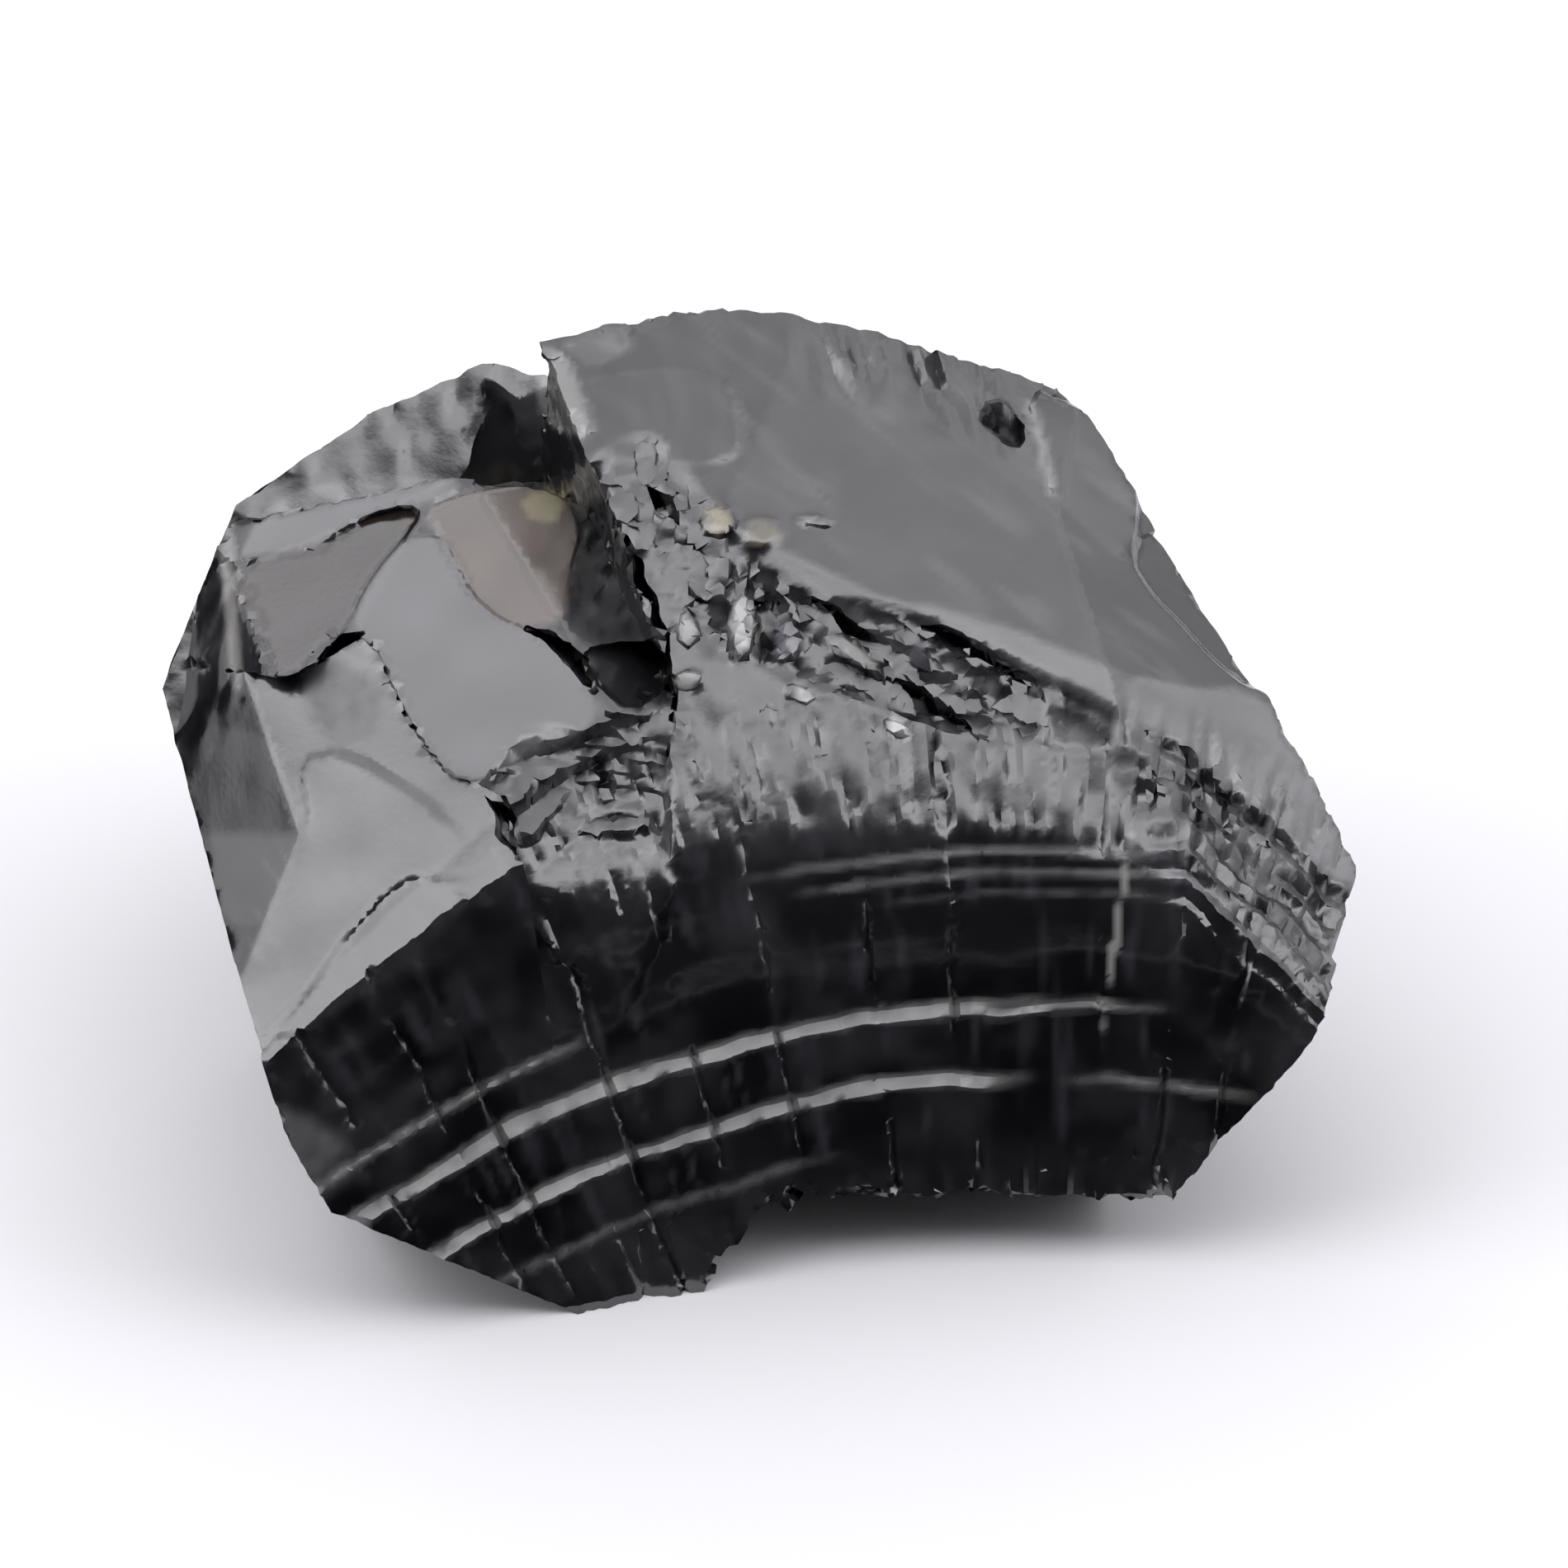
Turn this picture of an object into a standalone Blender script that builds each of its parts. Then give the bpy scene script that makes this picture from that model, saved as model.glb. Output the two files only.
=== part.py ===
"""A raw lump of elite shungite, about 28 mm wide: one natural stone, broken on every side.

The lump is shaped the way it came about. A rough block of flat fracture faces is met with the
masses that stand on it (crown, flake, cheek and back ledge), and then the conchoidal scars, the
notch, the cracks and the pits are struck out of it. Metres, +Z up, the camera side is -Y.
"""
import math
import random

import bmesh
import bpy
from mathutils import Matrix, Vector

MM = 0.001
BLOCK_SIZE = 90 * MM                                # raw cube that every convex mass is cut from
HEART = Vector((0.0, 10.0, 6.9)) * MM               # middle of the stone, which faces are measured from
CENTRE_OF_BASE = Vector((-0.25, 11.42, 0.0)) * MM  # middle of the stone's box, which becomes the origin

# A fracture face is (facing, tilt, distance): facing is degrees round from the front, + to the
# right, tilt is degrees the face looks up from level, distance is mm from the heart.
BLOCK_FACES = {
    "back": (174.5, 18, 11.0),
    "back_middle": (169.5, 18, 11.05),
    "back_right": (153, 14, 11.7),
    "right_behind": (125.5, 4, 10.55),
    "right": (103.5, -10.5, 12.5),
    "right_undercut": (92.5, -37, 10.2),
    "left_undercut": (-76.5, -23.5, 12.3),
    "front_undercut": (-43.5, -50.5, 11.05),
    "rear": (180, 6, 11.65),
    "rear_left": (-148, 8, 14.65),
    "left": (-100, 6, 15.0),
    "under_back": (172, -30, 9.7),
    "under_right": (128, -30, 10.4),
    "under_left": (-140, -26, 11.3),
    "resting_face": (180, -90, 6.9),
}
CROWN_FACES = {
    "top": (19.5, 68, 6.3),
    "top_left": (5, 71, 6.65),
    "top_edge": (56, 71.5, 8.0),
    "chip": (70.5, 55.5, 8.85),
    "right_strip": (71, 65, 9.1),
    "brow": (3, 57, 5.2),
    "back_left": (-162, 13, 10.7),
}
CROWN_WALL = {"crown_wall": (-71.5, -5, 2.0)}       # steep wall of the crown over the seam
BAND_WALL = {"band_wall": (-71.5, -5, 7.25), "band_top": (156.5, 85, 5.35)}
KNOB_SIDES = {
    "shoulder": (-71.5, 43.5, 11.95),
    "left_upper": (-104, 17, 14.85),
    "left_lower": (-79.5, -13, 12.55),
    "knob_back": (179, 23.5, 7.45),
}
FLAKE_FACES = {
    "flake_back": (-111.5, 70, 10.1),
    "flake_left": (-60, 72.5, 8.45),
    "flake": (-5, 74.5, 6.15),
    "flake_right": (16, 77.5, 5.95),
    "flake_dip": (82.5, 68.5, 4.2),
}
FLAKE_STEP_LEFT = {"step_left": (-59.5, 8.5, 8.7)}
FLAKE_STEP_RIGHT = {"step_right": (29, -7, -1.0)}
SEAM_INSIDE = {"seam_up": (96, 7.5, -0.8)}
CHEEK_FACES = {
    "cheek": (-39, 57.5, 8.15),
    "cheek_low": (-23, 53.5, 7.85),
    "cheek_left": (-88.5, 43, 10.5),
    "seam_low": (109, 5, -6.75),
}
LEDGE_FACES = {
    "ledge_back": (-150.3, 20.9, 13.7),
    "ledge_front": (19.2, 50, -1.8),
    "ledge_corner": (-131.5, 40, 14.15),
    "ledge_right": (90, 0, -4.2),
    "left_upper": (-104, 17, 14.85),
    "left_lower": (-79.5, -13, 12.55),
}
OVERHANG_FACES = {"rim_under": (-2, -62, 7.15), "foot_right": (106, -36.5, 1.05)}

STEP_COUNT = 3               # thin layers that peel away below the flake
STEP_DROP = 0.42             # mm, each layer below the last
STEP_RUN = 0.55              # mm, each layer out past the last

# The ribbed front scar is turned about the line that the breaking wave spread from.
SCAR_POINT = Vector((6.2, -12.7, -14.3)) * MM
SCAR_TILT = 50               # degrees that its axis looks up
SCAR_RIM_HEIGHT = 1.89       # mm along the axis, at the rim radius
SCAR_RIM_RADIUS = 23.6
SCAR_STEPS = 144
# radius in mm at which a stretch of the scar starts, and its rise for each mm of radius
SCAR_RIBS = [
    (4.0, 0.78),             # below the stone's rim
    (23.2, 0.90),            # face above the rim
    (25.35, -0.15),          # lower rib, a narrow shelf
    (25.95, 1.35),           # steep back up
    (26.8, -0.15),           # upper rib
    (27.4, 1.30),
    (28.3, 0.20),            # two faint ripples
    (28.5, 0.95),
    (29.5, 0.30),
    (29.7, 0.86),            # plain face up to the shoulder
    (45.0, 0.78),
]

# The shoulder between the top face and the front scar is rolled over along a wide arc.
ROLL_CENTRE = Vector((3.1, -33.84, -3.43)) * MM
ROLL_RADIUS = 42.6
# distance inward from the shoulder line and drop below the top face, mm
ROLL_PROFILE = [
    (1.75, 0.0), (1.2, -0.05), (0.5, -0.25), (-0.1, -0.61), (-0.7, -1.18), (-1.3, -2.0), (-2.2, -3.2),
]

# Scars of older blows on the hidden sides: hollow centre, radius, direction of the blow
# (facing, tilt) from the centre, and the span of its ripples in degrees.
HIDDEN_SCARS = {
    "back_scar": ((2.5, 36.0, 11.9), 16.2, (-14, 28), (10, 62)),
    "left_scar": ((-25.2, 12.5, 0.5), 13.5, (78, 46), (8, 70)),
    "right_scar": ((22.9, 19.7, 3.8), 15.0, (-62, 40), (8, 66)),
}
RIPPLE_SPACING = 5.2         # degrees at the first ripple, wider further out
RIPPLE_GROWTH = 1.16
RIPPLE_HEIGHT = 0.16         # mm
SPHERE_STEPS = 96

# The seam between crown and flake, down its wall and then along the top, with broken bits in it.
SEAM = [(-3.6, 13.5, 15.5), (-1.2, 10.2, 13.9), (4.7, 8.3, 12.5)]
CHIPS_PER_RUN = 9
CHIP_SIZE = (0.45, 0.95)     # mm, middle to side
CHIP_SUNK = 0.62             # mm below the top face

# Grooves in the top face: start, end, width, depth, mm
GROOVES = {
    "seam_trench_1": ((-4.2, 14.4, 15.9), (-0.4, 9.4, 13.5), 2.2, 1.2),
    "seam_trench_2": ((-2.2, 11.3, 14.4), (5.6, 8.2, 12.3), 2.4, 1.2),
    "crack_1": ((0.2, 12.0, 14.4), (2.2, 10.3, 13.5), 0.4, 2.0),
    "crack_2": ((2.9, 8.9, 12.9), (4.9, 7.9, 12.3), 0.35, 2.0),
    "crack_3": ((3.6, 10.8, 13.5), (5.7, 9.5, 12.7), 0.45, 2.2),
}
PIT = ((5.3, 16.6, 15.5), (1.1, 0.6, 0.8))      # hollow in the broken top edge: middle, radii, mm


def direction(facing, tilt):
    """Unit vector that looks the given way round from the front and up from level."""
    f, t = math.radians(facing), math.radians(tilt)
    return Vector((math.cos(t) * math.sin(f), -math.cos(t) * math.cos(f), math.sin(t)))


def moved(faces, distance):
    """The same faces, each moved along its own normal by a distance in mm."""
    return {name: (f, t, d + distance) for name, (f, t, d) in faces.items()}


def add_object(name, mesh, collection):
    obj = bpy.data.objects.new(name, mesh)
    collection.objects.link(obj)
    return obj


def convex_mass(name, faces, collection, keep_outside=False):
    """A cube cut down by one plane for each fracture face."""
    bm = bmesh.new()
    bmesh.ops.create_cube(bm, size=BLOCK_SIZE)
    bmesh.ops.translate(bm, verts=bm.verts, vec=HEART)
    for facing, tilt, distance in faces.values():
        normal = direction(facing, tilt)
        cut = bmesh.ops.bisect_plane(
            bm, geom=bm.verts[:] + bm.edges[:] + bm.faces[:], dist=1e-7,
            plane_co=HEART + normal * distance * MM, plane_no=normal,
            clear_outer=not keep_outside, clear_inner=keep_outside)
        rim = [e for e in cut["geom_cut"] if isinstance(e, bmesh.types.BMEdge)]
        if rim:
            bmesh.ops.holes_fill(bm, edges=rim)
    bmesh.ops.recalc_face_normals(bm, faces=bm.faces)
    mesh = bpy.data.meshes.new(name)
    bm.to_mesh(mesh)
    bm.free()
    return add_object(name, mesh, collection)


def turned(name, profile, closed, steps, origin, axis, collection):
    """A profile of (radius, height) in mm, turned about an axis with a Screw modifier."""
    mesh = bpy.data.meshes.new(name)
    edges = [(i, i + 1) for i in range(len(profile) - 1)]
    if closed:
        edges.append((len(profile) - 1, 0))
    mesh.from_pydata([(r * MM, 0.0, h * MM) for r, h in profile], edges, [])
    obj = add_object(name, mesh, collection)
    obj.location = origin
    obj.rotation_euler = axis.to_track_quat("Z", "Y").to_euler()
    screw = obj.modifiers.new("turn", "SCREW")
    screw.angle = math.radians(360)
    screw.steps = steps
    screw.render_steps = steps
    screw.use_merge_vertices = True
    screw.merge_threshold = 1e-6
    return obj


def boolean(obj, other, operation):
    """The masses share whole faces, on which the exact solver fails, so every one is manifold."""
    mod = obj.modifiers.new(other.name, "BOOLEAN")
    mod.operation = operation
    mod.object = other
    mod.solver = "MANIFOLD"


def front_scar_profile():
    """Closed outline of what the front blow took away: the ribbed face and open air above it."""
    radius, slope = SCAR_RIBS[0]
    height = SCAR_RIM_HEIGHT - slope * (SCAR_RIM_RADIUS - radius)
    face = [(radius, height)]
    for (r0, rise), (r1, _) in zip(SCAR_RIBS[:-1], SCAR_RIBS[1:]):
        height += rise * (r1 - r0)
        face.append((r1, height))
    open_air = height + 20
    return [(face[-1][0], open_air)] + face[::-1] + [(face[0][0], open_air)]


def roll_profile():
    outer = [(ROLL_RADIUS + run, drop) for run, drop in ROLL_PROFILE]
    top = 12
    return [(outer[0][0] + 3, top), (outer[0][0] + 3, 1.2)] + outer + [(outer[-1][0] - 12, top)]


def rippled_ball(radius, span):
    """Half outline of a ball, pole to pole, with ripples over a span of degrees from the top."""
    start, end = span
    outline = [(0.0, radius)]
    angle, spacing = start, RIPPLE_SPACING
    while angle < end:
        for share, lift in ((0.0, 0.0), (0.55, RIPPLE_HEIGHT), (0.8, 0.0)):
            a = math.radians(angle + share * spacing)
            outline.append(((radius + lift) * math.sin(a), (radius + lift) * math.cos(a)))
        angle += spacing
        spacing *= RIPPLE_GROWTH
    for a in range(int(angle) + 6, 180, 12):
        outline.append((radius * math.sin(math.radians(a)), radius * math.cos(math.radians(a))))
    outline.append((0.0, -radius))
    return outline


def lump(name, middle, radii, turn, collection, angular=False):
    """A block with six sides or a rounded lump, used as a broken bit or as a hollow."""
    bm = bmesh.new()
    if angular:
        bmesh.ops.create_cube(bm, size=2 * MM)
    else:
        bmesh.ops.create_icosphere(bm, subdivisions=1, radius=MM)
    shape = Matrix.Translation(Vector(middle) * MM) @ turn @ Matrix.Diagonal((*radii, 1))
    bmesh.ops.transform(bm, matrix=shape, verts=bm.verts)
    mesh = bpy.data.meshes.new(name)
    bm.to_mesh(mesh)
    bm.free()
    return add_object(name, mesh, collection)


def seam_chips(collection):
    """Angular broken bits, sunk in the seam at random."""
    rng = random.Random(7)
    top_normal = direction(*CROWN_FACES["top"][:2])
    chips = []
    for start, end in zip(SEAM[:-1], SEAM[1:]):
        for i in range(CHIPS_PER_RUN):
            share = (i + rng.uniform(0.2, 0.8)) / CHIPS_PER_RUN
            middle = Vector(start).lerp(Vector(end), share) - top_normal * CHIP_SUNK
            middle += Vector([rng.uniform(-0.6, 0.6), rng.uniform(-0.6, 0.6), rng.uniform(-0.15, 0.15)])
            size = rng.uniform(*CHIP_SIZE)
            radii = [size * rng.uniform(0.6, 1.1) for _ in range(3)]
            turn = Matrix.Rotation(rng.uniform(0, math.tau), 4,
                                   direction(rng.uniform(0, 360), rng.uniform(-60, 60)))
            chips.append(lump(f"chip_{len(chips) + 1}", middle, radii, turn, collection, angular=True))
    return chips


def groove_cutter(name, start, end, width, depth, collection):
    """A slit with pointed ends, square to the top face, that runs from start to end."""
    bm = bmesh.new()
    bmesh.ops.create_cone(bm, segments=4, radius1=0.5, radius2=0.5, depth=1, cap_ends=True)
    along = Vector(end) - Vector(start)
    up = direction(*CROWN_FACES["top"][:2])
    across = up.cross(along).normalized()
    up = along.cross(across).normalized()
    middle = (Vector(start) + Vector(end)) / 2
    frame = Matrix((along, across * width, up * depth)).transposed().to_4x4()
    shape = Matrix.Translation(middle * MM) @ Matrix.Scale(MM, 4) @ frame
    bmesh.ops.transform(bm, matrix=shape, verts=bm.verts)
    bmesh.ops.recalc_face_normals(bm, faces=bm.faces)
    mesh = bpy.data.meshes.new(name)
    bm.to_mesh(mesh)
    bm.free()
    return add_object(name, mesh, collection)


def shungite():
    """Bright black carbon rock with a half-metallic gloss."""
    material = bpy.data.materials.new("elite shungite")
    material.use_nodes = True
    shader = material.node_tree.nodes["Principled BSDF"]
    shader.inputs["Base Color"].default_value = (0.012, 0.012, 0.014, 1)
    shader.inputs["Metallic"].default_value = 0.35
    shader.inputs["Roughness"].default_value = 0.22
    return material


def build_masses(cutters):
    """Everything that stands up from the block, before the blows: crown, flake, cheek, ledge."""
    crown = convex_mass("crown", CROWN_FACES | CROWN_WALL, cutters)
    band = convex_mass("band", CROWN_FACES | BAND_WALL, cutters)
    roll = turned("shoulder_roll", roll_profile(), True, 288, ROLL_CENTRE, direction(19.5, 68), cutters)
    boolean(crown, band, "UNION")
    boolean(crown, roll, "DIFFERENCE")
    for step in range(STEP_COUNT):
        layer = (moved(FLAKE_FACES, -STEP_DROP * step) | KNOB_SIDES | SEAM_INSIDE | FLAKE_STEP_LEFT
                 | moved(FLAKE_STEP_RIGHT, STEP_RUN * step))
        boolean(crown, convex_mass(f"flake_{step + 1}", layer, cutters), "UNION")
    boolean(crown, convex_mass("cheek_mass", CHEEK_FACES | KNOB_SIDES, cutters), "UNION")
    boolean(crown, convex_mass("back_ledge", LEDGE_FACES, cutters), "UNION")
    for name in ("seam_trench_1", "seam_trench_2"):
        boolean(crown, groove_cutter(name, *GROOVES[name], cutters), "DIFFERENCE")
    for chip in seam_chips(cutters):
        boolean(crown, chip, "UNION")
    return crown


def build_stone(part, cutters):
    stone = convex_mass("stone", BLOCK_FACES, part)
    boolean(stone, build_masses(cutters), "INTERSECT")
    scar_axis = direction(0, SCAR_TILT)
    boolean(stone, turned("front_scar", front_scar_profile(), True, SCAR_STEPS, SCAR_POINT, scar_axis,
                          cutters), "DIFFERENCE")
    boolean(stone, convex_mass("overhang", OVERHANG_FACES, cutters, keep_outside=True), "DIFFERENCE")
    for name, (centre, radius, blow, span) in HIDDEN_SCARS.items():
        ball = turned(name, rippled_ball(radius, span), False, SPHERE_STEPS, Vector(centre) * MM,
                      direction(*blow), cutters)
        boolean(stone, ball, "DIFFERENCE")
    for name in ("crack_1", "crack_2", "crack_3"):
        boolean(stone, groove_cutter(name, *GROOVES[name], cutters), "DIFFERENCE")
    boolean(stone, lump("edge_pit", *PIT, Matrix.Rotation(0.6, 4, "Z"), cutters), "DIFFERENCE")
    stone.data.materials.append(shungite())
    return stone


for old in list(bpy.data.objects):
    bpy.data.objects.remove(old, do_unlink=True)

part_collection = bpy.data.collections.new("elite_shungite")
cutter_collection = bpy.data.collections.new("cutters")
for new_collection in (part_collection, cutter_collection):
    bpy.context.scene.collection.children.link(new_collection)

drawing = bpy.data.objects.new("drawing_frame", None)
drawing.location = -CENTRE_OF_BASE
part_collection.objects.link(drawing)
build_stone(part_collection, cutter_collection)
for shape in list(part_collection.objects) + list(cutter_collection.objects):
    if shape is not drawing:
        shape.parent = drawing
for shape in cutter_collection.objects:
    shape.hide_render = True
    shape.display_type = "WIRE"
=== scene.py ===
"""A raw lump of elite shungite, resting on a pale table under soft light."""
import math

import bpy
import numpy as np
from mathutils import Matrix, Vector


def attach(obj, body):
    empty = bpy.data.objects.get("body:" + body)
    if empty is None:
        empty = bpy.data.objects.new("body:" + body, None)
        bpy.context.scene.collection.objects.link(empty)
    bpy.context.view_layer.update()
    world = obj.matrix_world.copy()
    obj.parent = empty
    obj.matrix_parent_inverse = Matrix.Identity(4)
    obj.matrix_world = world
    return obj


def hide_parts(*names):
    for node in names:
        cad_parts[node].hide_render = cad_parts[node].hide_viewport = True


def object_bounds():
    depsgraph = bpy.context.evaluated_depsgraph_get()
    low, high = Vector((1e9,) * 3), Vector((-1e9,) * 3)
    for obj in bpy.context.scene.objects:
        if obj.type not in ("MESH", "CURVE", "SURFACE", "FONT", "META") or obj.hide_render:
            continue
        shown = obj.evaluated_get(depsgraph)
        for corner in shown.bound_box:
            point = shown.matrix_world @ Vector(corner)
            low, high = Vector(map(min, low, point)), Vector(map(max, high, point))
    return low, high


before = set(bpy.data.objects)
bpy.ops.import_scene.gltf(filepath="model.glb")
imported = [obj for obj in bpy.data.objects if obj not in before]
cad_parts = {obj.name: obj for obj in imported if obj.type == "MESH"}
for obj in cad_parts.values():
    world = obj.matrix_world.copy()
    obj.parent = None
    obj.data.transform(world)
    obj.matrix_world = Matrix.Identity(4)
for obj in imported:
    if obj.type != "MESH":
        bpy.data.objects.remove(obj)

cad_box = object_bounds()

# ---------------------------------------------------------------------------------------------
# The lump's fracture faces. Shungite is a glassy carbon with no grain to split along, so a lump
# is bounded by whatever faces the blows left. Each one is given by the way it looks and by how far
# it lies from the heart of the stone.

HEART = (0.0, 10.0, 6.9)                    # mm, where the faces are measured from

# (degrees round from the front, + to the right; degrees up from level; mm from the heart)
# The block behind and below
BLOCK = [(174.5, 18, 11.0), (169.5, 18, 11.05), (153, 14, 11.7), (125.5, 4, 10.55),
         (103.5, -10.5, 12.5), (92.5, -37, 10.2), (-76.5, -23.5, 12.3), (-43.5, -50.5, 11.05),
         (180, 6, 11.65), (-148, 8, 14.65), (-100, 6, 15.0), (172, -30, 9.7), (128, -30, 10.4),
         (-140, -26, 11.3)]
# The crown, and the wall at its left
TOP = (19.5, 68, 6.3)
TOP_LEFT = (5, 71, 6.65)
TOP_EDGE = (56, 71.5, 8.0)
EDGE_CHIP = (70.5, 55.5, 8.85)
RIGHT_STRIP = (71, 65, 9.1)
BROW = (3, 57, 5.2)
BACK_LEFT = (-162, 13, 10.7)
CROWN_WALL = (-71.5, -5, 2.0)
BAND_WALL = (-71.5, -5, 7.25)
BAND_TOP = (156.5, 85, 5.35)
# The left side, which the flake, the cheek and the ledge share
SHOULDER = (-74.8, 30, 12.67)
LEFT_UPPER = (-104, 17, 14.85)
LEFT_LOWER = (-79.5, -13, 12.55)
KNOB_BACK = (179, 23.5, 7.45)
# The flake
FLAKE_TOPS = [(-111.5, 70, 10.1), (-60, 72.5, 8.45), (-5, 74.5, 6.15), (16, 77.5, 5.95),
              (82.5, 68.5, 4.2)]
STEP_RIGHT = (29, -7, -1.0)
SEAM_UP = (96, 7.5, -0.8)
# The cheek below the flake, and the core under both
CHEEK = [(-39, 57.5, 8.15), (-23, 53.5, 7.85)]
SEAM_LOW = (109, 5, -6.75)
CORE_RIGHT = (90, 0, -1.8)
# The ledge behind the flake, and the dark notch between it and the crown
LEDGE = [(-150.3, 20.9, 13.7), (19.2, 50, -1.8), (-131.5, 40, 14.15), (90, 0, -4.2), LEFT_UPPER,
         LEFT_LOWER]
NOTCH = (22, 24, -7.2)
# The undercut foot
RIM_UNDER = (-2, -62, 7.15)
FOOT_RIGHT = (106, -36.5, 1.05)
# Shell-shaped hollows of older blows at the back and the sides: centre and radius in mm
HIDDEN_SCARS = [((2.5, 36.0, 11.9), 16.2), ((-25.2, 12.5, 0.5), 13.5), ((22.9, 19.7, 3.8), 15.0)]


def direction(facing, tilt):
    """The way a face looks, from its two angles in degrees."""
    f, t = math.radians(facing), math.radians(tilt)
    level = math.cos(t)
    return np.array([level * math.sin(f), -level * math.cos(f), math.sin(t)], np.float32)


def face(p, spec):
    """Height in mm above one fracture face."""
    facing, tilt, distance = spec
    return (p - np.array(HEART, np.float32)) @ direction(facing, tilt) - distance


def met(p, specs):
    """Inside all of the faces at once, and how far the nearest edge between two of them is."""
    first = np.full(len(p), -99, np.float32)
    second = first.copy()
    for spec in specs:
        value = face(p, spec) if isinstance(spec, tuple) else spec
        second = np.maximum(second, np.minimum(first, value))
        first = np.maximum(first, value)
    return first, first - second


def ramp(x, start, end):
    """From 0 at the start to 1 at the end, with no corner at either."""
    t = np.clip((x - start) / (end - start), 0, 1)
    return t * t * (3 - 2 * t)


def blend(a, b, width):
    """The larger of two fields, rounded over where they cross."""
    t = np.clip(0.5 + 0.5 * (a - b) / width, 0, 1)
    return b + (a - b) * t + width * t * (1 - t)


# ---------------------------------------------------------------------------------------------
# The ribbed front scar. The wave that broke the stone spread from a point below and in front of
# it, and left a hollow cone of ribs round that point, with hackles that point away from it.

SCAR_POINT = (6.2, -12.7, -14.3)            # mm, the point that the wave spread from
SCAR_TILT = 50                              # degrees up, the way the cone opens
RIM_HEIGHT, RIM_RADIUS = 1.89, 23.6         # mm, the lower rim of the cone
CONE_SLOPE = 0.78                           # mm along the axis for each mm out from it
CRACK_WIDTH, CRACK_DEPTH = 0.13, 0.16       # mm
# Ribs: radius and width in mm, strength, and the arc in degrees that each runs over
RIBS = [(26.95, 0.34, 1.0, (-60, -1)), (27.0, 0.15, 0.8, (-3, 5)), (25.5, 0.28, 1.0, (-60, -2)),
        (25.45, 0.18, 0.8, (2.5, 10)), (28.05, 0.15, 0.85, (-60, -23)),
        (30.35, 0.14, 0.4, (-12, 4)), (29.85, 0.14, 0.45, (-10, 5)), (29.4, 0.1, 0.3, (-6, 5)),
        (24.3, 0.15, 0.4, (-60, -12))]
# Fine cracks across the ribs, at these degrees of arc
SCAR_CRACKS = [-33.4, -29.6, -27.4, -21.6, -17.2, -13.0, -8.2, -4.3, 6.3, 9.4]
# The smooth dark part of the scar ends, and the hackled band over it ends, at these radii.
BAND_LOW = [(-60, 31.9), (-20, 31.7), (-10, 31.2), (0, 30.7), (7, 30.2), (9.7, 28.9),
            (13.3, 28.3), (30, 27.5)]
BAND_HIGH = [(-60, 34.6), (-14, 34.0), (-6.6, 33.2), (1, 33.0), (6.8, 32.6), (13, 32.2),
             (30, 31.5)]


def grain(p, size, seed):
    """Smooth uneven field from -1 to 1, with swells of about the given size in mm."""
    table = np.random.default_rng(seed).uniform(-1, 1, 32 ** 3).astype(np.float32)
    q = p / np.array(size, np.float32) + np.float32(64.37)
    cell = np.floor(q).astype(np.int32)
    f = (q - cell).astype(np.float32)
    f = f * f * (3 - 2 * f)
    low = cell & 31
    high = (cell + 1) & 31
    total = np.zeros(len(p), np.float32)
    for corner in np.ndindex(2, 2, 2):
        x, y, z = (np.where(c, high[:, n], low[:, n]) for n, c in enumerate(corner))
        share = 1
        for n, c in enumerate(corner):
            share = share * (f[:, n] if c else 1 - f[:, n])
        total += share * table[(x * 32 + y) * 32 + z]
    return total


def scar_place(p):
    """Radius from the scar's axis, arc in degrees from straight up, and height along the axis."""
    q = p - np.array(SCAR_POINT, np.float32)
    axis = direction(0, SCAR_TILT)
    up = direction(180, 90 - SCAR_TILT)
    height = q @ axis
    rise = q @ up
    return np.hypot(q[:, 0], rise), np.degrees(np.arctan2(q[:, 0], rise)), height


def front_scar(radius, arc, height):
    """Field of the scar, and the mask of the painted highlight: how far each place lies on the
    shelf of a rib, where the light catches it, from 0 to 1.
    """
    polar = np.stack([arc * 0.5, radius, radius * 0], 1).astype(np.float32)
    r = radius + 0.12 * grain(polar, (2.5, 3, 1), 21) + 0.05 * grain(polar, (0.7, 2, 1), 22)
    profile = RIM_HEIGHT + CONE_SLOPE * (r - RIM_RADIUS)
    rib_highlight = np.zeros(len(r), np.float32)
    for start, width, strength, (low, high) in RIBS:
        run = ramp(arc, low - 2, low + 2) * (1 - ramp(arc, high - 2, high + 2)) * strength
        width = width * (1 + 0.3 * grain(polar, (1.4, 40, 1), int(start * 10)))
        t = r - start
        shelf = np.clip(t, 0, width) - width * np.clip((t - width) / (1.6 * width), 0, 1)
        profile -= 0.93 * run * shelf
        lit = ramp(t, -0.05, 0.1) * (1 - ramp(t, width, width + 0.12))
        rib_highlight = np.maximum(rib_highlight, run * lit)
    profile += 0.006 * np.sin(r * 9.0 + 3 * grain(polar, (3, 2, 1), 23)) * ramp(r, 23, 26)
    fine = grain(polar, (0.16, 2.2, 1), 24) + 0.6 * grain(polar, (0.08, 1.5, 1), 25)
    profile += fine * (0.012 + 0.07 * (1 - ramp(radius, 23.8, 25.2)) + 0.03 * ramp(arc, 3, 8))
    profile += 0.13 * ramp(arc, 2.4, 2.9) * ramp(radius, 25, 26) * (1 - ramp(radius, 30.5, 31.5))
    for place in SCAR_CRACKS:
        off = (arc - place + 0.35 * grain(polar, (9, 1.1, 1), 26)) * radius * math.pi / 180
        deep = CRACK_DEPTH * np.clip(1 - np.abs(off) / CRACK_WIDTH, 0, 1)
        open_here = grain(polar, (0.6, 1.3, 1), int(place * 7) + 500) > -0.1
        profile -= deep * (0.35 + 0.65 * open_here)
    return (height - profile) / math.sqrt(1 + CONE_SLOPE ** 2), rib_highlight


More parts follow.
